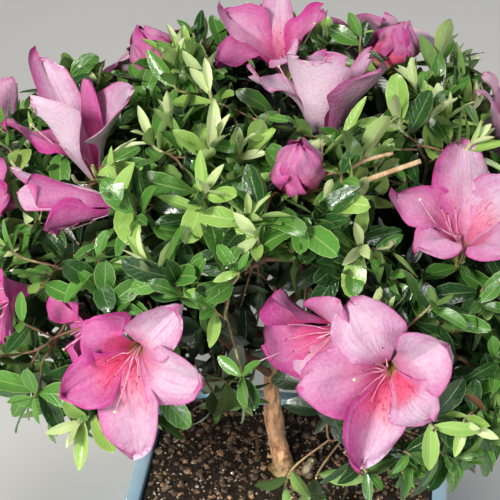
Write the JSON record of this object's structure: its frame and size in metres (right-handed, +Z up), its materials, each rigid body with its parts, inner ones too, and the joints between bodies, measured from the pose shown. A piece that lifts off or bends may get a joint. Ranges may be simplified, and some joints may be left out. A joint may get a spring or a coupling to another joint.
{
  "type": "flowering azalea bonsai in a glazed pot",
  "caption": "Small open-crowned azalea bonsai with large lilac blooms, on one slim leaning trunk in a rectangular sky-blue glazed pot.",
  "frame": {"origin": "centre of the flat underside of the pot, at rest height", "axes": "+Z up along the plant, +X to the viewer's right along the pot's long side, +Y away from the viewer"},
  "size_m": [0.3791, 0.3351, 0.312],
  "materials": {
    "glaze": "gloss",
    "potting_mix": "matte",
    "bark": "matte",
    "young_bark": "matte",
    "leaves_and_blooms": "satin"
  },
  "bodies": {
    "root": {"pot": "glaze", "soil": "potting_mix", "trunk": "bark", "stub": "bark", "bough_front_left": "young_bark", "bough_front_right": "young_bark", "bough_right": "young_bark", "bough_back_right": "young_bark", "bough_back": "young_bark", "bough_back_left": "young_bark", "bough_left": "young_bark", "bough_upper_front": "young_bark", "bough_upper_right": "young_bark", "bough_upper_back": "young_bark", "bough_upper_left": "young_bark", "foliage_front_left": "leaves_and_blooms", "foliage_front_right": "leaves_and_blooms", "foliage_right": "leaves_and_blooms", "foliage_back_right": "leaves_and_blooms", "foliage_back": "leaves_and_blooms", "foliage_back_left": "leaves_and_blooms", "foliage_left": "leaves_and_blooms", "foliage_upper_front": "leaves_and_blooms", "foliage_upper_right": "leaves_and_blooms", "foliage_upper_back": "leaves_and_blooms", "foliage_upper_left": "leaves_and_blooms", "foliage_crown_top": "leaves_and_blooms"}
  },
  "joints": []
}
